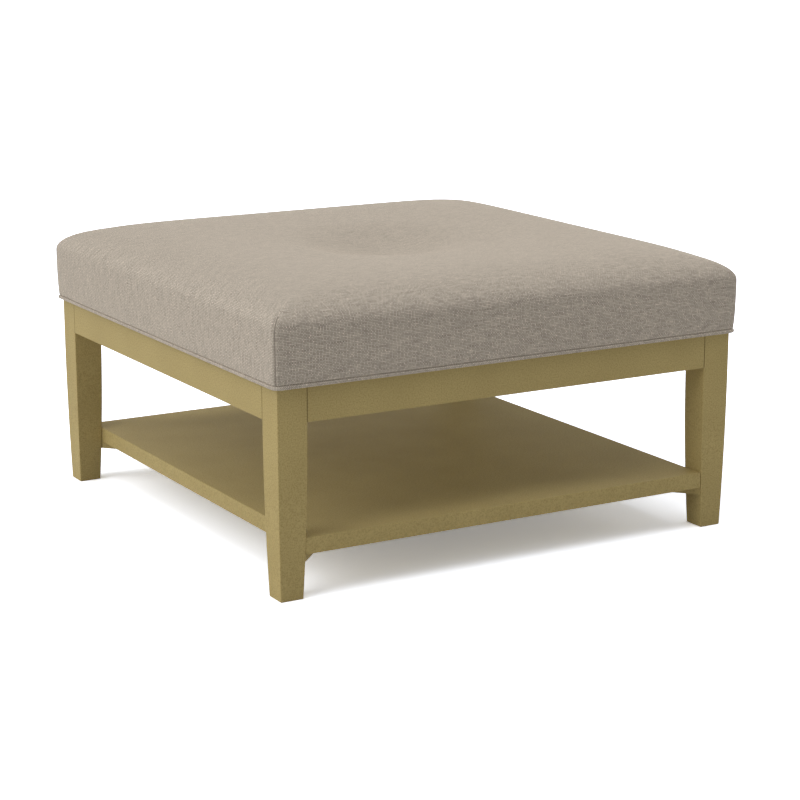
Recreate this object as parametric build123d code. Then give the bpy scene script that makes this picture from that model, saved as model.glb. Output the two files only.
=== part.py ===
from build123d import *
import os
from math import atan2, cos, degrees, hypot, radians, sin, sqrt

# Square ottoman coffee table. A painted hardwood frame of four tapered legs and four aprons
# carries a slab shelf on two crossed battens, and a thick upholstered top with a piped lower
# edge and one sewn tuft in the middle.
# Millimetres, +Z up, front towards -Y. The origin is on the floor under the table's middle.

# Frame
frame_width = 914.4
frame_depth = 914.4
frame_height = 361.0
edge_radius = 1.2
overrun = 5.0

# Legs: plumb beside the aprons, then tapered by a long arc on all four faces
leg_section = 54.6
foot_outer_inset = 4.6
foot_inner_inset = 7.9
foot_chamfer = 1.0

# Aprons
apron_height = 60.5
apron_thickness = 22.0
joint_chamfer = 0.8

# Dowels and pins: one radial clearance and one end gap serve every glued hole
dowel_clearance = 0.05
dowel_end_gap = 1.0
apron_dowel_diameter = 8.0
apron_dowel_length = 40.0
apron_dowel_spacing = 30.0

# Corner braces: mitred blocks across the frame's corners, notched over the legs
brace_height = 45.0
brace_thickness = 24.0
brace_notch = 6.0
brace_clearance = 0.3

# Hanger bolts, washers and nuts
bolt_diameter = 8.0
bolt_depth_in_leg = 32.0
bolt_tail = 4.0
bolt_clearance = 0.5
thread_clearance = 0.05
washer_diameter = 22.0
washer_thickness = 1.6
nut_across_flats = 13.0
nut_thickness = 6.5

# Wood screws: pan heads, each seated on the floor of a bore
screw_shank = 4.4
screw_head = 9.0
screw_head_height = 2.6
screw_clearance = 0.1
brace_screw_length = 26.0
brace_screw_inset = 16.0
brace_screw_sink = 1.0
top_screw_bite = 11.0
top_screw_sink = 3.0
top_screw_offset = 18.0
shelf_screw_bite = 16.0
shelf_screw_sink = 0.6

# Shelf: a slab between the legs' inner faces, a little back from their outer faces
shelf_bottom = 76.0
shelf_thickness = 28.6
shelf_setback = 3.7
shelf_end_clearance = 0.05
shelf_dowel_length = 36.0
shelf_dowel_spacing = 24.0

# Shelf battens: crossed under the shelf from leg to leg and halved at the middle
batten_width = 29.0
batten_depth = 13.3
batten_end_clearance = 0.1
batten_lap_clearance = 0.1
batten_screw_shares = (0.36, 0.80)
batten_pin_diameter = 6.0
batten_pin_length = 30.0

# Cushion cover: heights are above the floor, overhangs are beyond the frame's outer faces
cover_thickness = 2.5
cover_turn_in = 8.0
cushion_edge_height = 496.0
cushion_foot_overhang = 8.6
cushion_foot_corner = 10.0
cushion_belly_overhang = 13.6
cushion_belly_corner = 16.0
cushion_belly_share = 0.66
cushion_edge_overhang = 9.6
cushion_edge_corner = 34.0
cushion_edge_radius = 28.0

# Crown and sewn tuft of the top, as arcs turned about the tuft
crown_rise = 11.0
crown_radius = 430.0
tuft_crest_radius = 175.0
tuft_bottom_radius = 53.0
tuft_slope_angle = 21.5

# Welt: a piped cord round the cushion's lower edge, in a rebate of the cover
welt_diameter = 8.5
welt_overhang = 3.3
welt_corner = 9.0
welt_drop = 1.6
welt_clearance = 0.05

# Deck board, foam and tuft
deck_thickness = 15.0
soft_clearance = 0.3
tuft_cord_diameter = 3.0
tuft_hole_clearance = 1.0
anchor_diameter = 30.0
anchor_thickness = 2.2

# Dust cover
dust_cover_thickness = 1.0
dust_cover_clearance = 1.0

# Sizes worked out from the driving ones
half_width = frame_width / 2
half_depth = frame_depth / 2
apron_bottom = frame_height - apron_height
apron_middle = apron_bottom + apron_height / 2
brace_bottom = frame_height - brace_height
brace_middle = brace_bottom + brace_height / 2
leg_projection = leg_section - apron_thickness
brace_near = 2 * leg_projection - sqrt(2) * brace_notch
brace_far = brace_near + sqrt(2) * brace_thickness
shelf_top = shelf_bottom + shelf_thickness
shelf_middle = shelf_bottom + shelf_thickness / 2
batten_bottom = shelf_bottom - batten_depth
batten_middle = shelf_bottom - batten_depth / 2
deck_bottom = frame_height + cover_thickness
deck_top = deck_bottom + deck_thickness
welt_middle = frame_height - welt_drop + welt_diameter / 2
welt_top = welt_middle + welt_diameter / 2


def taper_offset(foot_inset, height):
    """How far a leg's face has moved in at a height, on the arc that ends foot_inset in."""
    radius = (apron_bottom**2 + foot_inset**2) / (2 * foot_inset)
    drop = apron_bottom - height
    return radius - sqrt(radius**2 - drop**2)


def leg_inner_face(half_size, height):
    """Distance of a leg's inner face from the table's middle at a height."""
    return half_size - leg_section + taper_offset(foot_inner_inset, height)


def leg_centre(half_size, height):
    """Distance of a leg's centre line from the table's middle at a height."""
    outer_face = half_size - taper_offset(foot_outer_inset, height)
    return (outer_face + leg_inner_face(half_size, height)) / 2


def to_corner(shape, side_x, side_y):
    """Mirror what is drawn at the front left corner to another corner of the table."""
    if side_x > 0:
        shape = mirror(shape, about=Plane.YZ)
    if side_y > 0:
        shape = mirror(shape, about=Plane.XZ)
    return shape


corners = ((-1, -1), (1, -1), (-1, 1), (1, 1))


def at_all_corners(shapes):
    """Copies of front left pieces at all four corners."""
    return [to_corner(shape, side_x, side_y) for side_x, side_y in corners for shape in shapes]


# Fasteners, each drawn along +Z
def dowel(diameter, length):
    """A wooden dowel, centred on its joint."""
    return Cylinder(diameter / 2, length)


def dowel_hole(diameter, length):
    """The pair of holes that a dowel is glued into."""
    return Cylinder(diameter / 2 + dowel_clearance, length + 2 * dowel_end_gap)


def upward(radius, length):
    """A round bar that stands on the origin."""
    return Cylinder(radius, length, align=(Align.CENTER, Align.CENTER, Align.MIN))


def screw(length):
    """A pan-head wood screw whose head is seated at the origin."""
    head = Cylinder(screw_head / 2, screw_head_height, align=(Align.CENTER, Align.CENTER, Align.MAX))
    return head + upward(screw_shank / 2, length)


def screw_pilot(length):
    """The straight hole that a screw's shank is driven into."""
    return upward(screw_shank / 2 + screw_clearance, length + screw_clearance)


def screw_bore(depth):
    """The bore that a screw's head is sunk in, from its floor back to the open."""
    return Cylinder(screw_head / 2 + screw_clearance, depth, align=(Align.CENTER, Align.CENTER, Align.MAX))


def along(origin, direction, shape):
    """Turn a piece drawn along +Z to a direction and put it at a point."""
    return Plane(origin=origin, z_dir=direction) * shape


# Legs
def leg_side(plane):
    """The leg's outline from one side: outer face at zero, inner face a section away."""
    with BuildSketch(plane) as side:
        with BuildLine():
            Line((0, apron_bottom), (0, frame_height))
            Line((0, frame_height), (leg_section, frame_height))
            Line((leg_section, frame_height), (leg_section, apron_bottom))
            TangentArc(
                (leg_section, apron_bottom),
                (leg_section - foot_inner_inset, 0),
                tangent=(0, -1),
            )
            Line((leg_section - foot_inner_inset, 0), (foot_outer_inset, 0))
            TangentArc((0, apron_bottom), (foot_outer_inset, 0), tangent=(0, -1))
        make_face()
    return side.sketch


def make_leg():
    """The front left leg, without its holes."""
    from_front = extrude(leg_side(Plane.XZ), amount=-leg_section)
    from_side = extrude(leg_side(Plane.YZ), amount=leg_section)
    leg = from_front & from_side
    upright = [edge for edge in leg.edges() if edge.bounding_box().size.Z > leg_section]
    leg = fillet(upright, edge_radius)
    leg = chamfer(leg.faces().sort_by(Axis.Z)[0].edges(), foot_chamfer)
    return Pos(-half_width, -half_depth) * leg


# Joints of the front left corner
apron_dowel_levels = (
    apron_middle - apron_dowel_spacing / 2,
    apron_middle + apron_dowel_spacing / 2,
)


def apron_dowel_places(shape):
    """A dowel or its hole at each of the two joints: with the front and with the left apron."""
    joint_x = -half_width + leg_section
    joint_y = -half_depth + leg_section
    middle_x = -half_width + apron_thickness / 2
    middle_y = -half_depth + apron_thickness / 2
    front = [along((joint_x, middle_y, level), (1, 0, 0), shape) for level in apron_dowel_levels]
    left = [along((middle_x, joint_y, level), (0, 1, 0), shape) for level in apron_dowel_levels]
    return front, left


def shelf_dowel_places(shape):
    """Two dowels, or their holes, between a leg's inner face and the shelf's end."""
    joint_x = -leg_inner_face(half_width, shelf_top)
    middle_y = -leg_centre(half_depth, shelf_middle)
    places = (middle_y - shelf_dowel_spacing / 2, middle_y + shelf_dowel_spacing / 2)
    return [along((joint_x, place, shelf_middle), (1, 0, 0), shape) for place in places]


batten_end_x = leg_inner_face(half_width, shelf_bottom)
batten_end_y = leg_centre(half_depth, shelf_bottom)
batten_angle = degrees(atan2(batten_end_y, batten_end_x))
batten_reach = hypot(batten_end_x, batten_end_y)


def batten_pin_place(shape):
    """The pin, or its hole, between the end of a batten and a leg's inner face."""
    return along((-batten_end_x, -batten_end_y, batten_middle), (batten_end_x, batten_end_y, 0), shape)


# Corner braces and their hardware, drawn from the corner where the aprons' inner faces meet
brace_corner = Pos(-half_width + apron_thickness, -half_depth + apron_thickness)
bolt_seat = brace_far / 2
bolt_direction = (1, 1, 0)


def bolt_length():
    """From its point in the leg to the tail that stands out of the nut."""
    leg_to_seat = sqrt(2) * (bolt_seat - leg_projection)
    return bolt_depth_in_leg + leg_to_seat + washer_thickness + nut_thickness + bolt_tail


def hanger_bolt(clearance=0):
    """The bolt, or its hole, from inside the leg's corner out through the brace."""
    start = leg_projection - bolt_depth_in_leg / sqrt(2)
    rod = upward(bolt_diameter / 2 + clearance, bolt_length())
    return brace_corner * along((start, start, brace_middle), bolt_direction, rod)


def bolt_washer():
    """The flat washer on the brace's inner face."""
    ring = Circle(washer_diameter / 2) - Circle(bolt_diameter / 2 + bolt_clearance)
    disc = extrude(ring, amount=washer_thickness)
    return brace_corner * along((bolt_seat, bolt_seat, brace_middle), bolt_direction, disc)


def bolt_nut():
    """The hexagon nut on the washer."""
    plan = RegularPolygon(nut_across_flats / 2, 6, major_radius=False)
    plan = plan - Circle(bolt_diameter / 2 + thread_clearance)
    seat = bolt_seat + washer_thickness / sqrt(2)
    nut = extrude(plan, amount=nut_thickness)
    return brace_corner * along((seat, seat, brace_middle), bolt_direction, nut)


brace_screw_seat = brace_screw_inset - screw_head / 2 - brace_screw_sink


def brace_screw_places(shape):
    """A screw, or its hole, at each end of a brace: into the front and into the left apron."""
    across = brace_far - brace_screw_inset
    front = along((across, brace_screw_seat, brace_middle), (0, -1, 0), shape)
    left = along((brace_screw_seat, across, brace_middle), (-1, 0, 0), shape)
    return brace_corner * front, brace_corner * left


def top_screw_place(shape):
    """The upright screw, or its hole, from a brace up into the deck board."""
    middle = (brace_near + brace_far) / 4
    shift = top_screw_offset / sqrt(2)
    return brace_corner * Pos(middle - shift, middle + shift, top_screw_seat) * shape


top_screw_seat = brace_bottom + top_screw_sink
top_screw_length = deck_bottom + top_screw_bite - top_screw_seat


def make_brace():
    """The front left brace: a mitred block with a notch over the leg and its bored holes."""
    plan = Polygon((brace_near, 0), (brace_far, 0), (0, brace_far), (0, brace_near), align=None)
    notch = leg_projection + brace_clearance
    plan = plan - Rectangle(notch, notch, align=(Align.MIN, Align.MIN))
    block = brace_corner * Pos(0, 0, brace_bottom) * extrude(plan, amount=brace_height)
    cuts = [
        hanger_bolt(bolt_clearance),
        *brace_screw_places(screw_pilot(brace_screw_length)),
        *brace_screw_places(screw_bore(brace_far)),
        top_screw_place(screw_pilot(top_screw_length)),
        top_screw_place(screw_bore(top_screw_sink + overrun)),
    ]
    return block - cuts


# Aprons
def make_apron(length):
    """An apron along X, outer face at zero, resting at zero height, its arrises eased."""
    rail = Box(length, apron_thickness, apron_height, align=(Align.CENTER, Align.MIN, Align.MIN))
    rail = fillet(rail.edges().filter_by(Axis.X).group_by(Axis.Z)[0], edge_radius)
    ends = rail.edges().filter_by(Axis.Z).group_by(Axis.Y)[0]
    return chamfer(ends, joint_chamfer)


# Shelf and battens
def make_shelf():
    """The slab with its long arrises eased."""
    length = 2 * (leg_inner_face(half_width, shelf_top) - shelf_end_clearance)
    depth = frame_depth - 2 * shelf_setback
    slab = Box(length, depth, shelf_thickness)
    slab = fillet(slab.edges().filter_by(Axis.X), edge_radius)
    slab = fillet(slab.edges().filter_by(Axis.Y).group_by(Axis.Z)[-1], edge_radius)
    return Pos(0, 0, shelf_middle) * slab


def batten_bar(angle, width, depth, middle):
    """A bar under the shelf on one diagonal, trimmed parallel to the legs' inner faces."""
    bar = Pos(0, 0, middle) * Rot(0, 0, angle) * Box(2 * (batten_reach + width), width, depth)
    end_x = batten_end_x - batten_end_clearance
    return bar & Box(2 * end_x, frame_depth, frame_height)


def batten_screw_places(angle, shape):
    """Screws, or their holes, from under one batten into the shelf."""
    turn = radians(angle)
    reaches = [side * share * batten_reach for share in batten_screw_shares for side in (-1, 1)]
    return [
        Pos(reach * cos(turn), reach * sin(turn), shelf_screw_seat) * shape for reach in reaches
    ]


def make_batten(angle, lap_middle):
    """One batten with the half of its thickness cut away where the other crosses it."""
    bar = batten_bar(angle, batten_width, batten_depth, batten_middle)
    lap_width = batten_width + 2 * batten_lap_clearance
    lap = batten_bar(-angle, lap_width, batten_depth / 2, lap_middle)
    pilots = batten_screw_places(angle, screw_pilot(shelf_screw_length))
    return bar - lap - pilots - batten_screw_places(angle, screw_bore(batten_depth))


shelf_screw_seat = batten_bottom + screw_head_height + shelf_screw_sink
shelf_screw_length = shelf_bottom + shelf_screw_bite - shelf_screw_seat


# Cushion
def rounded_rectangle(overhang, corner, inset, height):
    """A level section of the cushion, overhang beyond the frame and inset from that."""
    width = frame_width + 2 * (overhang - inset)
    depth = frame_depth + 2 * (overhang - inset)
    return Pos(0, 0, height) * RectangleRounded(width, depth, corner - inset)


def crown_core(inset):
    """The middle of the top turned about the tuft: the tuft's dip, its crest and the crown."""
    slope = radians(tuft_slope_angle)
    bend_x = tuft_bottom_radius * sin(slope)
    crest_arc = (tuft_crest_radius - bend_x) / sin(slope)
    edge = cushion_edge_height - inset
    crest = edge + crown_rise
    bottom = crest - (crest_arc + tuft_bottom_radius) * (1 - cos(slope))
    bend = bottom + tuft_bottom_radius * (1 - cos(slope))
    fall_x = (tuft_crest_radius + crown_radius) / 2
    fall = (crest + edge) / 2
    base = bottom - overrun
    with BuildSketch(Plane.XZ) as half:
        with BuildLine():
            TangentArc((0, bottom), (bend_x, bend), tangent=(1, 0))
            TangentArc((tuft_crest_radius, crest), (bend_x, bend), tangent=(-1, 0))
            TangentArc((tuft_crest_radius, crest), (fall_x, fall), tangent=(1, 0))
            TangentArc((crown_radius, edge), (fall_x, fall), tangent=(-1, 0))
            Line((crown_radius, edge), (crown_radius, base))
            Line((crown_radius, base), (0, base))
            Line((0, base), (0, bottom))
        make_face()
    return revolve(half.sketch, axis=Axis.Z), base, bottom


def cushion_form(inset):
    """The cushion's whole form, drawn in on every side by an inset: lofted sides that swell
    between the welt and the top, a rolled top edge, and the crowned and tufted middle."""
    edge = cushion_edge_height - inset
    belly = frame_height + cushion_belly_share * (cushion_edge_height - frame_height)
    sides = loft(
        [
            rounded_rectangle(cushion_foot_overhang, cushion_foot_corner, inset, frame_height),
            rounded_rectangle(cushion_belly_overhang, cushion_belly_corner, inset, belly),
            rounded_rectangle(cushion_edge_overhang, cushion_edge_corner, inset, edge),
        ]
    )
    rim = sides.faces().sort_by(Axis.Z)[-1].edges()
    sides = fillet(rim, cushion_edge_radius - inset)
    core, core_base, _ = crown_core(inset)
    well = Pos(0, 0, core_base) * upward(crown_radius, cushion_edge_height)
    return sides - well + core


def welt_rebate(inset):
    """What the welt's rebate takes off the cushion's lower edge."""
    outside = rounded_rectangle(cushion_belly_overhang + overrun, cushion_belly_corner, 0, 0)
    inside = rounded_rectangle(welt_overhang, welt_corner, inset, 0)
    height = welt_top + inset - frame_height + overrun
    return Pos(0, 0, frame_height - overrun) * extrude(outside - inside, amount=height)


def below(height):
    """Everything under a level, as wide as the cushion."""
    plan = rounded_rectangle(cushion_belly_overhang + overrun, cushion_belly_corner, 0, 0)
    return Pos(0, 0, height) * extrude(plan, amount=-height)


def make_cover():
    """The fabric cover with its wadding: a shell that turns in under the deck board."""
    outer = cushion_form(0) - welt_rebate(0)
    hollow = cushion_form(cover_thickness) - welt_rebate(cover_thickness) - below(deck_bottom)
    mouth_width = frame_width - 2 * (apron_thickness + cover_turn_in)
    mouth_depth = frame_depth - 2 * (apron_thickness + cover_turn_in)
    mouth = Pos(0, 0, frame_height) * Box(mouth_width, mouth_depth, 2 * cover_thickness)
    return outer - hollow - mouth


def make_foam():
    """The foam block on the deck board, with the tuft's hole through it."""
    return cushion_form(cover_thickness + soft_clearance) - below(deck_top) - tuft_hole()


def tuft_hole():
    """The hole for the tuft cord through the foam and the deck board."""
    return upward(tuft_cord_diameter / 2 + tuft_hole_clearance, cushion_edge_height)


def make_deck():
    """The plywood board that the foam and the cover are fixed to."""
    plan = rounded_rectangle(welt_overhang, welt_corner, cover_thickness + soft_clearance, deck_bottom)
    board = extrude(plan, amount=deck_thickness)
    return board - at_all_corners([top_screw_place(screw_pilot(top_screw_length))]) - tuft_hole()


def make_welt():
    """The piping: a round cord all along the rebate."""
    reach = welt_overhang + welt_diameter / 2 + welt_clearance
    corner = welt_corner + welt_diameter / 2 + welt_clearance
    path = rounded_rectangle(reach, corner, 0, welt_middle).wire()
    start = path.position_at(0)
    across = Plane(origin=start, z_dir=path.tangent_at(0))
    return sweep(across * Circle(welt_diameter / 2), path=path)


def make_tuft_anchor():
    """The disc under the deck board that the tuft cord is tied through."""
    ring = Circle(anchor_diameter / 2) - Circle(tuft_cord_diameter / 2 + welt_clearance)
    return Pos(0, 0, deck_bottom - anchor_thickness) * extrude(ring, amount=anchor_thickness)


def make_tuft_cord():
    """The twine that holds the tuft down, from under the cover to the anchor disc."""
    tuft_bottom = crown_core(cover_thickness)[2]
    length = tuft_bottom - deck_bottom + anchor_thickness
    return Pos(0, 0, deck_bottom - anchor_thickness) * upward(tuft_cord_diameter / 2, length)


def make_dust_cover():
    """The thin cloth under the deck: it fills the frame and is cut off short of the braces."""
    width = frame_width - 2 * (apron_thickness + dust_cover_clearance)
    depth = frame_depth - 2 * (apron_thickness + dust_cover_clearance)
    brace_reach = (width + depth) / sqrt(2) - sqrt(2) * (brace_far - 2 * dust_cover_clearance)
    diamond = Rot(0, 0, 45) * Rectangle(brace_reach, brace_reach)
    plan = Rectangle(width, depth) & diamond
    return Pos(0, 0, frame_height - dust_cover_thickness) * extrude(plan, amount=dust_cover_thickness)


# Put together
apron_holes_front, apron_holes_left = apron_dowel_places(
    dowel_hole(apron_dowel_diameter, apron_dowel_length)
)
shelf_holes = shelf_dowel_places(dowel_hole(apron_dowel_diameter, shelf_dowel_length))
pin_hole = batten_pin_place(dowel_hole(batten_pin_diameter, batten_pin_length))
brace_hole_front, brace_hole_left = brace_screw_places(screw_pilot(brace_screw_length))

leg = make_leg() - apron_holes_front - apron_holes_left - shelf_holes - pin_hole
leg = leg - hanger_bolt(thread_clearance)

front_holes = [*apron_holes_front, brace_hole_front]
left_holes = [*apron_holes_left, brace_hole_left]
apron_front = Pos(0, -half_depth, apron_bottom) * make_apron(frame_width - 2 * leg_section)
apron_front = apron_front - front_holes - [to_corner(hole, 1, -1) for hole in front_holes]
apron_left = Pos(-half_width, 0, apron_bottom) * Rot(0, 0, -90) * make_apron(frame_depth - 2 * leg_section)
apron_left = apron_left - left_holes - [to_corner(hole, -1, 1) for hole in left_holes]

lap_upper = batten_middle + batten_depth / 4
lap_lower = batten_middle - batten_depth / 4
batten_fall = make_batten(batten_angle, lap_upper) - [pin_hole, to_corner(pin_hole, 1, 1)]
batten_rise = make_batten(-batten_angle, lap_lower) - [
    to_corner(pin_hole, 1, -1),
    to_corner(pin_hole, -1, 1),
]
batten_screw = screw(shelf_screw_length)
batten_screws = batten_screw_places(batten_angle, batten_screw)
batten_screws += batten_screw_places(-batten_angle, batten_screw)
batten_screw_hole = screw_pilot(shelf_screw_length)
shelf = make_shelf() - at_all_corners(shelf_holes)
shelf = shelf - batten_screw_places(batten_angle, batten_screw_hole)
shelf = shelf - batten_screw_places(-batten_angle, batten_screw_hole)

apron_dowels_front, apron_dowels_left = apron_dowel_places(
    dowel(apron_dowel_diameter, apron_dowel_length)
)
brace = make_brace()

nodes = {
    "leg_front_left": leg,
    "leg_front_right": to_corner(leg, 1, -1),
    "leg_back_left": to_corner(leg, -1, 1),
    "leg_back_right": to_corner(leg, 1, 1),
    "apron_front": apron_front,
    "apron_back": to_corner(apron_front, -1, 1),
    "apron_left": apron_left,
    "apron_right": to_corner(apron_left, 1, -1),
    "apron_dowels": at_all_corners(apron_dowels_front + apron_dowels_left),
    "corner_brace_front_left": brace,
    "corner_brace_front_right": to_corner(brace, 1, -1),
    "corner_brace_back_left": to_corner(brace, -1, 1),
    "corner_brace_back_right": to_corner(brace, 1, 1),
    "brace_screws": at_all_corners(brace_screw_places(screw(brace_screw_length))),
    "hanger_bolts": at_all_corners([hanger_bolt()]),
    "bolt_washers": at_all_corners([bolt_washer()]),
    "bolt_nuts": at_all_corners([bolt_nut()]),
    "shelf": shelf,
    "shelf_dowels": at_all_corners(shelf_dowel_places(dowel(apron_dowel_diameter, shelf_dowel_length))),
    "shelf_batten_lower": batten_fall,
    "shelf_batten_upper": batten_rise,
    "batten_pins": at_all_corners([batten_pin_place(dowel(batten_pin_diameter, batten_pin_length))]),
    "shelf_screws": batten_screws,
    "deck_board": make_deck(),
    "top_screws": at_all_corners([top_screw_place(screw(top_screw_length))]),
    "foam_core": make_foam(),
    "cushion_cover": make_cover(),
    "welt_cord": make_welt(),
    "tuft_cord": make_tuft_cord(),
    "tuft_anchor": make_tuft_anchor(),
    "dust_cover": make_dust_cover(),
}

os.makedirs("parts", exist_ok=True)
for name, shape in nodes.items():
    solids = shape if isinstance(shape, list) else [shape]
    solids = [solid for item in solids for solid in item.solids()]
    export_step(Compound(solids) if len(solids) > 1 else solids[0], f"parts/{name}.step")
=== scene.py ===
from math import atan2, cos, hypot, pi, radians, sin, sqrt, tau

import bmesh
import bpy
from mathutils import Matrix, Vector, noise


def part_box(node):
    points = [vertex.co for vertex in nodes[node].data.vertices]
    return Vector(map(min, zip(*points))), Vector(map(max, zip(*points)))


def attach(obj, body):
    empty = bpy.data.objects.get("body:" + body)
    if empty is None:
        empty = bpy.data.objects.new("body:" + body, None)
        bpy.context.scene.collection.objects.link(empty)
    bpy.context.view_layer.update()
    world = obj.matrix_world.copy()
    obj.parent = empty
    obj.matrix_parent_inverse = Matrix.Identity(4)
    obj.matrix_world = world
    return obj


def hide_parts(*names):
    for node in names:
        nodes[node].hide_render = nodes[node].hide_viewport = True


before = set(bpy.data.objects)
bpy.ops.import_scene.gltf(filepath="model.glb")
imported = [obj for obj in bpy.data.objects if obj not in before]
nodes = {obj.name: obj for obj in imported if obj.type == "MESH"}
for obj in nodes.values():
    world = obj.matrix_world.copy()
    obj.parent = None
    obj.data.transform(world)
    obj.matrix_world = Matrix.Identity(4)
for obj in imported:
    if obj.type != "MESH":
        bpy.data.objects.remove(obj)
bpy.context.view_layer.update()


# Painted frame
# Four tapered hardwood legs and four aprons, sprayed with a satin khaki paint that fills the
# grain. The aprons are dowelled between the legs' upper ends, with a fine groove at each joint,
# darkened by painted shade.

mm = 0.001
# the width of the painted shade line along each joint groove
joint_shade_width = 1.3 * mm


def shade(red, green, blue):
    """A colour as it looks, each part from 0 to 255."""
    parts = []
    for part in (red / 255, green / 255, blue / 255):
        parts.append(part / 12.92 if part < 0.04045 else ((part + 0.055) / 1.055) ** 2.4)
    return (*parts, 1.0)


khaki, pale_khaki = shade(175, 156, 105), shade(185, 166, 113)
# the darker brown is painted shade for the joint grooves
speck_khaki, joint_shade_brown = shade(150, 132, 84), shade(101, 88, 53)


def add(tree, kind, sockets=None, **options):
    """A shader node with its options set, and its sockets set or linked."""
    node = tree.nodes.new("ShaderNode" + kind)
    for option, value in options.items():
        setattr(node, option, value)
    for socket, value in (sockets or {}).items():
        if isinstance(value, bpy.types.NodeSocket):
            tree.links.new(value, node.inputs[socket])
        else:
            node.inputs[socket].default_value = value
    return node


def calc(tree, operation, first, second=0.0, third=0.0):
    """The result of one sum on two or three values."""
    return add(tree, "Math", {0: first, 1: second, 2: third}, operation=operation).outputs[0]


def mixed(tree, share, first, second, blend="MIX"):
    """Two colours mixed by a share."""
    sockets = {0: share, 6: first, 7: second}
    return add(tree, "Mix", sockets, data_type="RGBA", blend_type=blend).outputs[2]


def ranged(tree, value, low, high):
    """A value from 0 to 1, moved to run from low to high."""
    return add(tree, "MapRange", {"Value": value, "To Min": low, "To Max": high}).outputs[0]


def finish(name, **constants):
    """A new material, and its tree and Principled shader with its constant sockets set."""
    material = bpy.data.materials.new(name)
    material.use_nodes = True
    tree = material.node_tree
    shader = tree.nodes["Principled BSDF"]
    for socket, value in constants.items():
        shader.inputs[socket.replace("_", " ")].default_value = value
    return material, tree, shader


def dress(obj, material):
    """Give an object one material."""
    obj.data.materials.clear()
    obj.data.materials.append(material)


def joint_shade_mask(tree, place):
    """A mask of painted shade along the fine grooves where the aprons meet the legs."""
    joint = -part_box("leg_front_left")[1].x
    axes = add(tree, "SeparateXYZ", {0: place}).outputs
    high = calc(tree, "GREATER_THAN", axes[2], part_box("apron_front")[0].z)
    x, y = (calc(tree, "ABSOLUTE", axes[axis]) for axis in (0, 1))

    def groove(along, outward):
        away = calc(tree, "ABSOLUTE", calc(tree, "SUBTRACT", along, joint))
        near = calc(tree, "SUBTRACT", 1.0, calc(tree, "DIVIDE", away, joint_shade_width))
        outside = calc(tree, "GREATER_THAN", outward, joint)
        return calc(tree, "MULTIPLY", calc(tree, "MAXIMUM", near, 0.0), outside)

    return calc(tree, "MULTIPLY", calc(tree, "ADD", groove(x, y), groove(y, x)), high)


def khaki_paint():
    """Satin paint: cloudy in tone by a shade, finely speckled by the spray, and nearly smooth; painted
    shade darkens its joint grooves.
    """
    material, tree, shader = finish("khaki_paint", Specular_IOR_Level=0.07)
    place = add(tree, "TexCoord").outputs["Object"]
    clouds = add(tree, "TexNoise", {"Vector": place, "Scale": 9.0, "Detail": 3.0}).outputs["Fac"]
    speckle = add(tree, "TexNoise", {"Vector": place, "Scale": 420.0, "Detail": 2.0}).outputs["Fac"]
    spray = add(tree, "TexNoise", {"Vector": place, "Scale": 150.0, "Detail": 4.0}).outputs["Fac"]
    tone = mixed(tree, ranged(tree, clouds, -0.4, 1.4), khaki, pale_khaki)
    tone = mixed(tree, ranged(tree, speckle, -0.9, 1.4), tone, speck_khaki)
    # painted shade: the paint darkens along the grooves where the aprons meet the legs
    tone = mixed(tree, joint_shade_mask(tree, place), tone, joint_shade_brown)
    tree.links.new(tone, shader.inputs["Base Color"])
    tree.links.new(ranged(tree, spray, 0.5, 0.65), shader.inputs["Roughness"])
    relief = add(tree, "Bump", {"Height": spray, "Strength": 0.25, "Distance": 0.6 * mm})
    tree.links.new(relief.outputs[0], shader.inputs["Normal"])
    return material


paint = khaki_paint()
corners = ("front_left", "front_right", "back_left", "back_right")
for side in ("front", "back", "left", "right"):
    dress(nodes[f"apron_{side}"], paint)
for corner in corners:
    dress(nodes[f"leg_{corner}"], paint)


# Dowels, pins and corner braces
# Beech dowels glued across the joints, and mitred hardwood blocks notched over the legs: bare
# planed wood, seen only from underneath.

one_band = pi / 10  # the scale at which a wave texture has one band to the metre


def effect(name, inputs, outputs):
    """An empty shader node group with named sockets, and its two ends."""
    tree = bpy.data.node_groups.new(name, "ShaderNodeTree")
    for label, (kind, value) in inputs.items():
        kind = "NodeSocket" + kind
        socket = tree.interface.new_socket(name=label, in_out="INPUT", socket_type=kind)
        if value is not None:
            socket.default_value = value
    for label, kind in outputs.items():
        kind = "NodeSocket" + kind
        tree.interface.new_socket(name=label, in_out="OUTPUT", socket_type=kind)
    return tree, tree.nodes.new("NodeGroupInput").outputs, tree.nodes.new("NodeGroupOutput").inputs


def use(tree, group, sockets):
    """A node group placed in a material, with its own values."""
    node = tree.nodes.new("ShaderNodeGroup")
    node.node_tree = group
    for socket, value in sockets.items():
        if isinstance(value, bpy.types.NodeSocket):
            tree.links.new(value, node.inputs[socket])
        else:
            node.inputs[socket].default_value = value
    return node.outputs


def make_grain():
    """Growth rings of a bar that lies level: late wood in wavy layers, and fine pores along it."""
    tree, given, result = effect(
        "timber_grain",
        {
            "Vector": ("Vector", None),
            "Early wood": ("Color", (0.6, 0.5, 0.3, 1)),
            "Late wood": ("Color", (0.4, 0.3, 0.2, 1)),
            "Ring spacing": ("Float", 4 * mm),
            "Waviness": ("Float", 4.0),
        },
        {"Color": "Color", "Height": "Float"},
    )
    place = given["Vector"]
    sockets = {
        "Vector": place,
        "Scale": calc(tree, "DIVIDE", one_band, given["Ring spacing"]),
        "Distortion": given["Waviness"],
        "Detail Scale": 0.25,
    }
    rings = add(tree, "TexWave", sockets, bands_direction="Z").outputs["Fac"]
    pores = add(tree, "TexNoise", {"Vector": place, "Scale": 600.0, "Detail": 2.0}).outputs["Fac"]
    layered = calc(tree, "MULTIPLY_ADD", pores, 0.4, calc(tree, "MULTIPLY", rings, 0.6))
    tree.links.new(mixed(tree, layered, given["Early wood"], given["Late wood"]), result["Color"])
    tree.links.new(layered, result["Height"])
    return tree


grain = make_grain()


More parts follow.
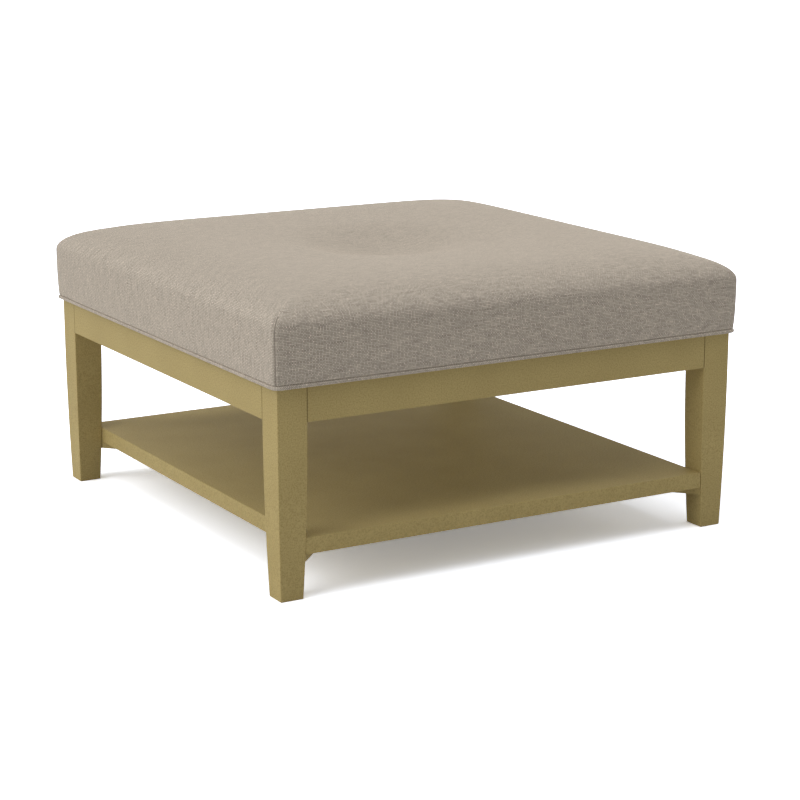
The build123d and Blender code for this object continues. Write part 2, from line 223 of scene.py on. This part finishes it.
def bare_wood(name, early, late, ring_spacing, waviness):
    """Planed wood without a finish."""
    material, tree, shader = finish(name, Roughness=0.62, Specular_IOR_Level=0.3)
    place = add(tree, "TexCoord").outputs["Object"]
    sockets = {
        "Vector": place,
        "Early wood": early,
        "Late wood": late,
        "Ring spacing": ring_spacing,
        "Waviness": waviness,
    }
    wood = use(tree, grain, sockets)
    tree.links.new(wood["Color"], shader.inputs["Base Color"])
    relief = add(tree, "Bump", {"Height": wood["Height"], "Strength": 0.3, "Distance": 0.3 * mm})
    tree.links.new(relief.outputs[0], shader.inputs["Normal"])
    return material


beech = bare_wood("beech", shade(214, 186, 148), shade(196, 163, 122), 2 * mm, 3.0)
for node in ("apron_dowels", "shelf_dowels", "batten_pins"):
    dress(nodes[node], beech)

brace_wood = bare_wood("brace_wood", shade(205, 176, 133), shade(176, 142, 100), 6 * mm, 9.0)
for corner in corners:
    dress(nodes[f"corner_brace_{corner}"], brace_wood)


# Screws, bolts, washers and nuts
# Zinc-plated steel. A hanger bolt in each leg is drawn tight by the nut against the brace, and
# pan-head screws hold the braces, the shelf battens and the deck board.

def zinc_plate():
    """Plated steel: a grey metal, slightly clouded yellow and blue, with a fine matt bloom."""
    material, tree, shader = finish("zinc_plate", Metallic=1.0)
    place = add(tree, "TexCoord").outputs["Object"]
    clouds = add(tree, "TexNoise", {"Vector": place, "Scale": 160.0, "Detail": 2.0}).outputs["Fac"]
    tone = mixed(tree, clouds, shade(196, 194, 182), shade(176, 182, 194))
    tree.links.new(tone, shader.inputs["Base Color"])
    tree.links.new(ranged(tree, clouds, 0.24, 0.46), shader.inputs["Roughness"])
    return material


zinc = zinc_plate()
for node in ("brace_screws", "shelf_screws", "top_screws", "hanger_bolts", "bolt_washers", "bolt_nuts"):
    dress(nodes[node], zinc)


# Shelf and its battens
# A painted slab dowelled between the legs, on two painted battens that cross under it from leg to
# leg, halved where they meet and screwed up into the slab.

for node in ("shelf", "shelf_batten_lower", "shelf_batten_upper"):
    dress(nodes[node], paint)


# Deck board
# Birch plywood under the foam, held by screws that come up through the corner braces. Its plies
# show on its edges.

plywood = bare_wood("birch_plywood", shade(213, 187, 143), shade(181, 148, 104), 3.3 * mm, 0.4)
dress(nodes["deck_board"], plywood)


# Cushion cover
# One piece of greige linen-look cloth over wadding, cut as a cross, drawn down over the foam and
# sewn up its four corners, where the seams sink in a little. Its edge goes in above the welt and
# under the deck board, and one stitch in the middle of the top pulls it down.

frame_half = -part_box("apron_front")[0].y

belly_height = 458.7 * mm
belly_reach = 12.9 * mm
belly_bulge = 0.33
foot_reach = 8.8 * mm
dome_rise = 54.5 * mm
dome_flatness = 7.7
dome_sharpness = 0.53
side_half = frame_half + belly_reach
roll_width = 74 * mm
top_half = side_half - roll_width
top_corner = 29 * mm
belly_corner = 10 * mm
foot_corner = 9 * mm
corner_draw, corner_draw_sharpness = 2 * mm, 8
tightest_corner = 2 * mm

hollow_radius, hollow_depth = 400 * mm, 16 * mm
dip_radius, dip_depth = 212 * mm, 28 * mm

seam_offset = -0.4 * mm
seam_width = 1.7 * mm
seam_groove = 1.8 * mm
seam_top = 479 * mm
seam_fade = 10 * mm

columns = 100
column_evenness = 0.24
roll_rows = 12
side_rows = 16

# How the cloth's edge goes in: its reach from the frame's face, and its height
tuck = (
    (8.8 * mm, 368.5 * mm),
    (8.6 * mm, 367.9 * mm),
    (7.6 * mm, 367.7 * mm),
    (6.2 * mm, 367.75 * mm),
    (3.4 * mm, 367.3 * mm),
    (2.9 * mm, 365.0 * mm),
    (2.4 * mm, 361.4 * mm),
    (-10.0 * mm, 361.2 * mm),
    (-29.8 * mm, 361.2 * mm),
    (-30.0 * mm, 363.3 * mm),
)


def crowded(share):
    """Grid lines from -1 to 1 that stand closer together near the corners."""
    return column_evenness * share + (1 - column_evenness) * sin(share * pi / 2)


def rounded(x, y, half, corner):
    """A point of a square moved so that the square's corners become round."""
    inner = half - corner
    across, along = (abs(x) - inner) / corner, (abs(y) - inner) / corner
    if across <= 0 or along <= 0:
        return x, y
    bent_x = inner + corner * across * sqrt(1 - min(along, 1) ** 2 / 2)
    bent_y = inner + corner * along * sqrt(1 - min(across, 1) ** 2 / 2)
    return bent_x * (1 if x > 0 else -1), bent_y * (1 if y > 0 else -1)


def fullness(across):
    """How far the dome has risen, from 0 at a side to 1 in the middle."""
    return max(0, 1 - abs(across / side_half) ** dome_flatness) ** dome_sharpness


def drawn_down(reach, radius, depth):
    """How deep a round hollow is at a reach from its middle."""
    return depth * (0.5 + 0.5 * cos(pi * min(reach / radius, 1)))


def top_height(x, y):
    """The domed top, drawn down a little all over and steeply round its stitch."""
    reach = hypot(x, y)
    down = drawn_down(reach, hollow_radius, hollow_depth) + drawn_down(reach, dip_radius, dip_depth)
    return belly_height + dome_rise * fullness(x) * fullness(y) - down


def side_sections():
    """Every row of the cover below the top: its half size, its corner radius, its height, and how
    much cloth lies between it and the top's edge."""
    sections = []
    for row in range(1, roll_rows + 1):
        turn = row / roll_rows * pi / 2
        half = top_half + (side_half - top_half) * sin(turn)
        corner = top_corner + (belly_corner - top_corner) * sin(turn)
        sections.append((half, corner, belly_height + dome_rise * fullness(half)))
    low = tuck[0][1]
    for row in range(1, side_rows + 1):
        height = belly_height + (low - belly_height) * sin(row / side_rows * pi / 2)
        rise = (height - low) / (belly_height - low)
        bulge = sin(rise * pi / 2) ** belly_bulge
        half = frame_half + foot_reach + (belly_reach - foot_reach) * bulge
        sections.append((half, foot_corner + (belly_corner - foot_corner) * rise, height))
    for reach, height in tuck[1:]:
        corner = max(foot_corner + reach - foot_reach, tightest_corner)
        sections.append((frame_half + reach, corner, height))
    measured = []
    drop, last_half, last_height = 0, top_half, top_height(top_half, 0)
    for half, corner, height in sections:
        drop += hypot(half - last_half, height - last_height)
        measured.append((half, corner, height, drop))
        last_half, last_height = half, height
    return measured


sections = side_sections()


def cover_point(share_x, share_y, row, inset=0):
    """Where a point of the flat cross goes, its row counted down from the top's edge, on the
    cover or on a form drawn in from it."""
    x, y = crowded(share_x), crowded(share_y)
    draw = corner_draw * abs(x * y) ** corner_draw_sharpness
    drawn_half = top_half - draw
    height = top_height(*rounded(x * drawn_half, y * drawn_half, drawn_half, top_corner))
    half, corner = top_half, top_corner
    if row:
        half, corner, level, _ = sections[row - 1]
        risen = max(0, level - belly_height) / (dome_rise * fullness(top_half))
        height = min(level, belly_height) + (height - belly_height) * risen
    half -= draw
    x, y = rounded(x * half, y * half, half, corner)
    drawn = 1 - inset / half
    return Vector((x * drawn, y * drawn, height - inset))


def flat_point(share_x, share_y, row, face_middle):
    """The same point on the cloth before it was sewn, in metres."""
    x, y = crowded(share_x) * side_half, crowded(share_y) * side_half
    drop = sections[row - 1][3] if row else 0
    if abs(face_middle.x) > abs(face_middle.y):
        return x + drop * (1 if x > 0 else -1), y
    return x, y + drop * (1 if y > 0 else -1)


def skirted_grid(segments, rows):
    """A grid from -1 to 1, its rim extruded down by one unit for each row, and the last rim."""
    bm = bmesh.new()
    bmesh.ops.create_grid(bm, x_segments=segments, y_segments=segments, size=1)
    rim = [edge for edge in bm.edges if edge.is_boundary]
    for _ in range(rows):
        grown = bmesh.ops.extrude_edge_only(bm, edges=rim)["geom"]
        rim = [item for item in grown if isinstance(item, bmesh.types.BMEdge)]
        lowered = [item for item in grown if isinstance(item, bmesh.types.BMVert)]
        bmesh.ops.translate(bm, vec=(0, 0, -1), verts=lowered)
    return bm, rim


def sewn_cover():
    """The cover's mesh: a grid for the top, and a row of faces for every section below it."""
    bm, _ = skirted_grid(columns, len(sections))
    flat = bm.loops.layers.uv.new("cloth")
    for face in bm.faces:
        middle = face.calc_center_median()
        for loop in face.loops:
            x, y, row = loop.vert.co
            loop[flat].uv = flat_point(x, y, round(-row), middle)
    for vert in bm.verts:
        x, y, row = vert.co
        vert.co = cover_point(x, y, round(-row))
    bmesh.ops.recalc_face_normals(bm, faces=bm.faces)
    return bm


def new_object(name, bm, smooth=True):
    """An object at the origin from a finished bmesh."""
    mesh = bpy.data.meshes.new(name)
    for face in bm.faces:
        face.smooth = smooth
    bm.to_mesh(mesh)
    bm.free()
    obj = bpy.data.objects.new(name, mesh)
    bpy.context.scene.collection.objects.link(obj)
    return obj


swell_limit = 1 * mm
swell_frames = 20
stitch_reach = 12 * mm
tuck_margin = 1 * mm
slack_hold = 0.02


def swell(obj):
    """The padding's push: a cloth run under pressure, held at the welt and at the stitch, with
    each point's move limited."""
    mesh = obj.data
    held = obj.vertex_groups.new(name="held")
    welt_line = tuck[0][1] + tuck_margin
    start = [vert.co.copy() for vert in mesh.vertices]
    for vert in mesh.vertices:
        tucked = vert.co.z < welt_line
        at_stitch = hypot(vert.co.x, vert.co.y) < stitch_reach
        held.add([vert.index], 1.0 if tucked or at_stitch else slack_hold, "REPLACE")
    cloth = obj.modifiers.new("padding", "CLOTH")
    cloth.settings.quality = 6
    cloth.settings.mass = 0.3
    cloth.settings.tension_stiffness = 25
    cloth.settings.compression_stiffness = 25
    cloth.settings.bending_stiffness = 2
    cloth.settings.use_pressure = True
    cloth.settings.uniform_pressure_force = 4
    cloth.settings.vertex_group_mass = "held"
    cloth.settings.effector_weights.gravity = 0
    cloth.point_cache.frame_start, cloth.point_cache.frame_end = 1, swell_frames
    scene = bpy.context.scene
    for step in range(1, swell_frames + 1):
        scene.frame_set(step)
    shaped = obj.evaluated_get(bpy.context.evaluated_depsgraph_get()).to_mesh()
    moved = [vert.co.copy() for vert in shaped.vertices]
    obj.to_mesh_clear()
    obj.modifiers.remove(cloth)
    scene.frame_set(1)
    for vert, old, new in zip(mesh.vertices, start, moved):
        step = new - old
        vert.co = old + step * min(1, swell_limit / max(step.length, 1e-9))


cover = new_object("linen_cover", sewn_cover())
swell(cover)


def press_seams(obj):
    """Sink the cloth at each corner seam, fading out where the seam ends below the rolled edge."""
    for vert in obj.data.vertices:
        x, y, z = vert.co
        if z > seam_top or z < tuck[1][1]:
            continue
        fade = min(1, (seam_top - z) / seam_fade)
        from_seam = (abs(x) - abs(y)) / sqrt(2) - seam_offset
        groove = seam_groove * max(0, 1 - abs(from_seam) / seam_width)
        vert.co -= Vector((x, y, 0)).normalized() * fade * groove


press_seams(cover)
finer = cover.modifiers.new("finer", "SUBSURF")
finer.levels = finer.render_levels = 1


noise_apart = 7.3  # the step in the noise from one thread to the next
tone_strength = 4.0
warp_drift, weft_drift = 7 * mm, 28 * mm


def make_weave():
    """Plain weave on flat cloth: threads that pass over and under, uneven in tone and thickness
    along their length, and darkened by painted shade where they dip between their neighbours."""
    tree, given, result = effect(
        "plain_weave",
        {
            "Vector": ("Vector", None),
            "Thread": ("Float", 1.8 * mm),
            "Warp": ("Color", (0.5, 0.5, 0.5, 1)),
            "Weft": ("Color", (0.4, 0.4, 0.4, 1)),
            "Gap shade": ("Color", (0.1, 0.1, 0.1, 1)),
            "Unevenness": ("Float", 0.3),
        },
        {"Color": "Color", "Height": "Float"},
    )
    per_metre = calc(tree, "DIVIDE", 1.0, given["Thread"])
    ridges = calc(tree, "DIVIDE", one_band, given["Thread"])
    place = given["Vector"]
    axes = add(tree, "SeparateXYZ", {0: place}).outputs
    warp_up = add(tree, "TexChecker", {"Vector": place, "Scale": per_metre}).outputs["Fac"]
    sockets = {"Vector": place, "Scale": ridges}
    across = add(tree, "TexWave", sockets, bands_direction="X").outputs["Fac"]
    along = add(tree, "TexWave", sockets, bands_direction="Y").outputs["Fac"]

    def over(thread, crossing):
        """A thread's height, lower where it dips to go under its neighbours."""
        return calc(tree, "MULTIPLY", thread, calc(tree, "MULTIPLY_ADD", crossing, 0.5, 0.5))

    def tone(sideways, lengthways, drift):
        """Each thread's own tone, which drifts over a length of it."""
        number = calc(tree, "FLOOR", calc(tree, "MULTIPLY", sideways, per_metre))
        apart = calc(tree, "MULTIPLY", number, noise_apart)
        drifted = calc(tree, "DIVIDE", lengthways, drift)
        spot = add(tree, "CombineXYZ", {0: apart, 1: drifted}).outputs[0]
        return add(tree, "TexNoise", {"Vector": spot, "Scale": 1.0, "Detail": 1.0}).outputs["Fac"]

    warp_tone = tone(axes[0], axes[1], warp_drift)
    weft_tone = tone(axes[1], axes[0], weft_drift)
    weft_height, warp_height = over(along, across), over(across, along)
    height = add(tree, "Mix", {0: warp_up, 2: weft_height, 3: warp_height}).outputs[0]
    uneven = add(tree, "Mix", {0: warp_up, 2: weft_tone, 3: warp_tone}).outputs[0]
    spread = calc(tree, "MULTIPLY", calc(tree, "SUBTRACT", uneven, 0.5), given["Unevenness"])
    thread = mixed(tree, warp_up, given["Weft"], given["Warp"])
    level = calc(tree, "ADD", 1.0, calc(tree, "MULTIPLY", spread, tone_strength))
    bright = add(tree, "CombineXYZ", {0: level, 1: level, 2: level}).outputs[0]
    thread = mixed(tree, 1.0, thread, bright, blend="MULTIPLY")
    # painted shade: the low parts of the threads, where they dip, mix toward the gap colour
    depth = calc(tree, "POWER", height, 0.5)
    tree.links.new(mixed(tree, depth, given["Gap shade"], thread), result["Color"])
    tree.links.new(calc(tree, "ADD", height, spread), result["Height"])
    return tree


weave = make_weave()


def seam_shade_mask(tree):
    """A mask of painted shade along the sewn lines down the cover's corners."""
    place = add(tree, "TexCoord").outputs["Object"]
    axes = add(tree, "SeparateXYZ", {0: place}).outputs
    x, y = (calc(tree, "ABSOLUTE", axes[axis]) for axis in (0, 1))
    from_corner = calc(tree, "MULTIPLY", calc(tree, "SUBTRACT", x, y), sqrt(0.5))
    away = calc(tree, "ABSOLUTE", calc(tree, "SUBTRACT", from_corner, seam_offset))
    near = calc(tree, "SUBTRACT", 1.0, calc(tree, "DIVIDE", away, seam_width))
    outside = calc(tree, "GREATER_THAN", x, top_half)
    low = calc(tree, "LESS_THAN", axes[2], seam_top)
    line = calc(tree, "MULTIPLY", calc(tree, "MAXIMUM", near, 0.0), outside)
    return calc(tree, "MULTIPLY", line, low)


thread_width = 2.6 * mm
seam_shadow = shade(112, 103, 93)


def linen(name, turn, with_seam_shade):
    """The greige cloth, its threads turned by some degrees, with or without painted shade along the
    corner seams.
    """
    material, tree, shader = finish(
        name,
        Roughness=0.9,
        Specular_IOR_Level=0.2,
        Sheen_Weight=0.45,
        Sheen_Roughness=0.5,
        Sheen_Tint=(1.0, 0.87, 0.72, 1.0),
    )
    flat = add(tree, "UVMap", uv_map="cloth").outputs[0]
    turned = add(tree, "Mapping", {"Vector": flat, "Rotation": (0, 0, radians(turn))}).outputs[0]
    sockets = {
        "Vector": turned,
        "Thread": thread_width,
        "Warp": shade(211, 200, 185),
        "Weft": shade(197, 186, 171),
        # the gap colour is painted shade between the threads
        "Gap shade": shade(116, 107, 96),
        "Unevenness": 0.42,
    }
    cloth = use(tree, weave, sockets)
    tone = cloth["Color"]
    if with_seam_shade:
        # painted shade darkens the cloth along each corner seam
        tone = mixed(tree, seam_shade_mask(tree), tone, seam_shadow)
    tree.links.new(tone, shader.inputs["Base Color"])
    relief = add(tree, "Bump", {"Height": cloth["Height"], "Strength": 0.35, "Distance": 0.6 * mm})
    tree.links.new(relief.outputs[0], shader.inputs["Normal"])
    return material


dress(cover, linen("greige_linen", 0, with_seam_shade=True))
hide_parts("cushion_cover")
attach(cover, "root")


# Welt
# A cord wrapped in a bias strip of the same cloth, sewn round the cushion's lower edge. It lies
# just outside the frame's top edge, close under the cover.

welt_radius = 3.3 * mm
welt_reach = frame_half + 7.4 * mm
welt_height = 364.2 * mm
welt_corner = 12 * mm
welt_sides = 20
welt_step = 12 * mm
welt_corner_steps = 8
merge_distance = 0.01 * mm


def piped_cord():
    """A ring of cloth extruded step by step along the four sides and turned at the corners."""
    bm = bmesh.new()
    flat = bm.loops.layers.uv.new("cloth")
    run = 2 * (welt_reach - welt_corner)
    start = Matrix.Translation((-run / 2, -welt_reach, welt_height)) @ Matrix.Rotation(pi / 2, 4, "Y")
    bmesh.ops.create_circle(bm, segments=welt_sides, radius=welt_radius, matrix=start)
    ring = list(bm.edges)
    steps = round(run / welt_step)
    travelled = 0

    def go(ring, move, length):
        """Extrude the ring's edges, move the new ring and lay the cloth on the new faces."""
        nonlocal travelled
        grown = bmesh.ops.extrude_edge_only(bm, edges=ring)["geom"]
        new_verts = {item for item in grown if isinstance(item, bmesh.types.BMVert)}
        faces = [item for item in grown if isinstance(item, bmesh.types.BMFace)]
        bmesh.ops.transform(bm, matrix=move, verts=list(new_verts))
        for face in faces:
            for loop in face.loops:
                x, y, z = loop.vert.co
                reach = max(abs(x), abs(y))
                outward = reach - welt_reach if reach > run / 2 else reach
                turn = atan2(z - welt_height, outward)
                ahead = length if loop.vert in new_verts else 0
                loop[flat].uv = (travelled + ahead, turn * welt_radius)
        travelled += length
        return [item for item in grown if isinstance(item, bmesh.types.BMEdge)]

    for side in range(4):
        facing = Matrix.Rotation(side * pi / 2, 4, "Z")
        forward = facing @ Vector((run / steps, 0, 0))
        for _ in range(steps):
            ring = go(ring, Matrix.Translation(forward), run / steps)
        centre = facing @ Vector((run / 2, -run / 2, 0))
        angle = pi / 2 / welt_corner_steps
        bend = Matrix.Rotation(angle, 4, "Z")
        bend = Matrix.Translation(centre) @ bend @ Matrix.Translation(-centre)
        for _ in range(welt_corner_steps):
            ring = go(ring, bend, welt_corner * angle)
    bmesh.ops.remove_doubles(bm, verts=bm.verts, dist=merge_distance)
    bmesh.ops.recalc_face_normals(bm, faces=bm.faces)
    return bm


welt = new_object("welt_piping", piped_cord())
dress(welt, linen("bias_linen", 45, with_seam_shade=False))
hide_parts("welt_cord")
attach(welt, "root")


# Foam
# One block of pale open-cell foam on the deck board, cut to the cushion's form. The tuft's stitch
# presses it down in the middle.

foam_inset = 3.2 * mm
foam_gap = 0.3 * mm
foam_columns = 60


def foam_block():
    """The cover's form a little smaller, with fewer rows down its sides, and flat below."""
    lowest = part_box("deck_board")[1].z + foam_gap
    levels = [*range(roll_rows + 1), roll_rows + side_rows // 2, roll_rows + side_rows]
    bm, rim = skirted_grid(foam_columns, len(levels) - 1)
    for vert in bm.verts:
        share_x, share_y, row = vert.co
        vert.co = cover_point(share_x, share_y, levels[round(-row)], foam_inset)
        vert.co.z = max(vert.co.z, lowest)
    bmesh.ops.holes_fill(bm, edges=rim)
    bmesh.ops.recalc_face_normals(bm, faces=bm.faces)
    return bm


def cut_foam():
    """Pale open-cell foam: fine round pores."""
    material, tree, shader = finish("cut_foam", Roughness=0.95, Specular_IOR_Level=0.1)
    place = add(tree, "TexCoord").outputs["Object"]
    cells = add(tree, "TexVoronoi", {"Vector": place, "Scale": 900.0}).outputs["Distance"]
    tone = mixed(tree, cells, shade(214, 204, 170), shade(240, 233, 208))
    tree.links.new(tone, shader.inputs["Base Color"])
    relief = add(tree, "Bump", {"Height": cells, "Strength": 0.5, "Distance": 0.8 * mm})
    tree.links.new(relief.outputs[0], shader.inputs["Normal"])
    return material


foam = new_object("foam_block", foam_block())
dress(foam, cut_foam())
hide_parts("foam_core")
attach(foam, "root")


# Tuft
# Waxed twine of two strands, from the stitch in the top down through foam and board to an
# off-white plastic disc, where it is tied.

cord_low, cord_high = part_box("tuft_cord")
strand_radius = (cord_high.x - cord_low.x) / 4
strand_sides = 10
twine_turns = 9
steps_per_turn = 14
stitch_depth = 3 * mm


def twisted_twine():
    """Two strands, each a circle spun up a helix round the other."""
    bm = bmesh.new()
    rise = top_height(0, 0) - stitch_depth - cord_low.z
    steps = twine_turns * steps_per_turn
    for strand in (0, pi):
        place = Matrix.Rotation(strand, 4, "Z") @ Matrix.Translation((strand_radius, 0, cord_low.z))
        place = place @ Matrix.Rotation(pi / 2, 4, "X")
        ring = bmesh.ops.create_circle(bm, segments=strand_sides, radius=strand_radius, matrix=place)
        edges = {edge for vert in ring["verts"] for edge in vert.link_edges}
        bmesh.ops.spin(
            bm,
            geom=ring["verts"] + list(edges),
            cent=(0, 0, 0),
            axis=(0, 0, 1),
            dvec=(0, 0, rise / steps),
            angle=tau * twine_turns,
            steps=steps,
            use_duplicate=False,
        )
    bmesh.ops.recalc_face_normals(bm, faces=bm.faces)
    return bm


def waxed_twine():
    """Pale linen fibres along the strand, under a dull wax."""
    material, tree, shader = finish("waxed_twine", Roughness=0.6, Specular_IOR_Level=0.35)
    place = add(tree, "TexCoord").outputs["Object"]
    turned = add(tree, "Mapping", {"Vector": place, "Scale": (1.0, 1.0, 0.3)}).outputs[0]
    fibres = add(tree, "TexNoise", {"Vector": turned, "Scale": 2500.0, "Detail": 2.0}).outputs["Fac"]
    tone = mixed(tree, fibres, shade(196, 184, 152), shade(226, 217, 192))
    tree.links.new(tone, shader.inputs["Base Color"])
    relief = add(tree, "Bump", {"Height": fibres, "Strength": 0.4, "Distance": 0.2 * mm})
    tree.links.new(relief.outputs[0], shader.inputs["Normal"])
    return material


twine = new_object("tuft_twine", twisted_twine())
dress(twine, waxed_twine())
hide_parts("tuft_cord")
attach(twine, "root")


def disc_plastic():
    """Off-white moulded plastic, faintly clouded."""
    material, tree, shader = finish("disc_plastic", Specular_IOR_Level=0.45)
    place = add(tree, "TexCoord").outputs["Object"]
    clouds = add(tree, "TexNoise", {"Vector": place, "Scale": 90.0, "Detail": 3.0}).outputs["Fac"]
    tone = mixed(tree, clouds, shade(222, 220, 210), shade(236, 235, 228))
    tree.links.new(tone, shader.inputs["Base Color"])
    tree.links.new(ranged(tree, clouds, 0.35, 0.5), shader.inputs["Roughness"])
    return material


dress(nodes["tuft_anchor"], disc_plastic())


# Dust cover
# Off-white spun-bonded cloth drawn flat across the inside of the frame and stapled up along its
# edges, with its corners cut off short of the braces.

dust_low, dust_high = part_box("dust_cover")
dust_corner = max((vert.co.x + vert.co.y) / sqrt(2) for vert in nodes["dust_cover"].data.vertices)
dust_columns = 64
board_gap = 0.3 * mm
dust_sag = 0.35 * mm
ripple_height = 0.25 * mm
ripples_per_metre = 7


def stretched_cloth():
    """A level sheet, cut at the corners, that sags a little between its staples."""
    bm = bmesh.new()
    bmesh.ops.create_grid(bm, x_segments=dust_columns, y_segments=dust_columns, size=1)
    half = Vector((dust_high.x, dust_high.y, 0))
    bmesh.ops.scale(bm, vec=(half.x, half.y, 1), verts=bm.verts)
    bmesh.ops.translate(bm, vec=(0, 0, dust_high.z - board_gap), verts=bm.verts)
    flat = bm.loops.layers.uv.new("cloth")
    for sign_x, sign_y in ((1, 1), (1, -1), (-1, 1), (-1, -1)):
        outward = Vector((sign_x, sign_y, 0)).normalized()
        bmesh.ops.bisect_plane(
            bm,
            geom=list(bm.verts) + list(bm.edges) + list(bm.faces),
            dist=merge_distance,
            plane_co=outward * dust_corner,
            plane_no=outward,
            clear_outer=True,
        )
    for face in bm.faces:
        for loop in face.loops:
            loop[flat].uv = loop.vert.co.xy
    for vert in bm.verts:
        inward = (1 - (vert.co.x / half.x) ** 2) * (1 - (vert.co.y / half.y) ** 2)
        ripple = noise.noise(vert.co * ripples_per_metre) * ripple_height
        vert.co.z += min(inward * 2, 1) * (ripple - dust_sag)
    bmesh.ops.recalc_face_normals(bm, faces=bm.faces)
    return bm


def spun_cloth():
    """Thin off-white cloth of bonded fibres, dotted where they are pressed together."""
    material, tree, shader = finish("spun_bonded_cloth", Roughness=0.85, Specular_IOR_Level=0.2)
    flat = add(tree, "UVMap", uv_map="cloth").outputs[0]
    fibres = add(tree, "TexNoise", {"Vector": flat, "Scale": 900.0, "Detail": 4.0}).outputs["Fac"]
    sockets = {"Vector": flat, "Scale": 480.0, "Randomness": 0.15}
    dots = add(tree, "TexVoronoi", sockets).outputs["Distance"]
    tone = mixed(tree, fibres, shade(226, 223, 215), shade(240, 238, 231))
    tree.links.new(tone, shader.inputs["Base Color"])
    relief = add(tree, "Bump", {"Height": dots, "Strength": 0.4, "Distance": 0.3 * mm})
    tree.links.new(relief.outputs[0], shader.inputs["Normal"])
    return material


staples_per_side = 14
staple_wire = 0.9 * mm
staple_crown = 10 * mm
staple_inset = 6 * mm
staple_run_share = 0.96
staple_lean = radians(9)


def staples():
    """Wire staples along the cloth's edges, their crowns flat against it."""
    bm = bmesh.new()
    run = (sqrt(2) * dust_corner - dust_high.x) * staple_run_share
    for side in range(4):
        facing = Matrix.Rotation(side * pi / 2, 4, "Z")
        for step in range(staples_per_side):
            along = run * (2 * step / (staples_per_side - 1) - 1)
            lean = Matrix.Rotation(staple_lean * noise.noise((side, step, 0.5)), 4, "Z")
            height = dust_low.z - staple_wire / 2
            place = Matrix.Translation((along, staple_inset - dust_high.y, height))
            size = Matrix.Diagonal((staple_crown, staple_wire, staple_wire, 1))
            bar = bmesh.ops.create_cube(bm, size=1, matrix=facing @ place @ lean @ size)
            edges = {edge for vert in bar["verts"] for edge in vert.link_edges}
            bmesh.ops.bevel(
                bm,
                geom=list(edges),
                affect="EDGES",
                offset=staple_wire / 4,
                segments=1,
                profile=0.5,
                material=-1,
            )
    return bm


dust_cover = new_object("dust_cloth", stretched_cloth())
dress(dust_cover, spun_cloth())
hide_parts("dust_cover")
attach(dust_cover, "root")
staple_row = new_object("staples", staples(), smooth=False)
dress(staple_row, zinc)
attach(staple_row, "root")


# Room
# A wide white floor under soft studio light: an even pale room, a broad lamp overhead, one from
# the left, and two weak ones low on the right and behind.

floor_half = 40
floor_lift = 0.22
bounce_grey, seen_white = (0.75, 0.75, 0.75, 1), (1.68, 1.74, 1.88, 1)


def looked_at(tree):
    """1 for rays from the camera, also by way of a mirror or glass, and 0 for the room's light."""
    rays = add(tree, "LightPath").outputs
    seen = calc(tree, "MAXIMUM", rays["Is Camera Ray"], rays["Is Glossy Ray"])
    return calc(tree, "MAXIMUM", seen, rays["Is Transmission Ray"])


def white_floor():
    """White ground: what the lens sees is lifted to white, and it keeps the table's shadow."""
    material = bpy.data.materials.new("white_floor")
    material.use_nodes = True
    tree = material.node_tree
    tree.nodes.remove(tree.nodes["Principled BSDF"])
    seen = looked_at(tree)
    tone = mixed(tree, seen, bounce_grey, seen_white)
    ground = add(tree, "BsdfDiffuse", {"Color": tone}).outputs[0]
    strength = calc(tree, "MULTIPLY", seen, floor_lift)
    lift = add(tree, "Emission", {"Color": (1, 1, 1, 1), "Strength": strength}).outputs[0]
    both = add(tree, "AddShader", {0: ground, 1: lift}).outputs[0]
    tree.links.new(both, tree.nodes["Material Output"].inputs["Surface"])
    return material


ground = bmesh.new()
bmesh.ops.create_grid(ground, x_segments=1, y_segments=1, size=floor_half)
floor = new_object("floor", ground, smooth=False)
dress(floor, white_floor())


def aim(azimuth, elevation):
    """The turn of a lamp or camera that looks at the table from there: azimuth 0 is in front of
    the table and 90 to its right."""
    turn, rise = radians(azimuth), radians(elevation)
    back = Vector((sin(turn) * cos(rise), -cos(turn) * cos(rise), sin(rise)))
    return back.to_track_quat("Z", "Y").to_euler()


def lamp(name, strength, softness, azimuth, elevation):
    """A distant soft lamp, its softness the width in degrees that it fills in the sky."""
    light = bpy.data.lights.new(name, "SUN")
    light.energy = strength
    light.angle = radians(softness)
    obj = bpy.data.objects.new(name, light)
    obj.rotation_euler = aim(azimuth, elevation)
    bpy.context.scene.collection.objects.link(obj)


lamp("overhead", 1.32, 60, -90, 85)
lamp("left_side", 1.36, 50, -90, 31)
lamp("right_side", 0.75, 50, 90, 15)
lamp("behind", 0.35, 50, 180, 15)

room_light = 0.23
world = bpy.data.worlds.new("studio")
bpy.context.scene.world = world
world.use_nodes = True
sky = world.node_tree
background = sky.nodes["Background"].inputs
background["Color"].default_value = (1, 1, 1, 1)
sky.links.new(ranged(sky, looked_at(sky), room_light, 1.0), background["Strength"])

camera_data = bpy.data.cameras.new("lens")
camera_data.sensor_width = 36
camera_data.lens = 99.43
camera_data.clip_end = 200
camera = bpy.data.objects.new("camera", camera_data)
bpy.context.scene.collection.objects.link(camera)
camera.location = (-2.0173, -3.5349, 1.1651)
camera.rotation_euler = aim(-30.1543, 13.3987)
bpy.context.scene.camera = camera
bpy.context.scene.view_settings.view_transform = "Standard"
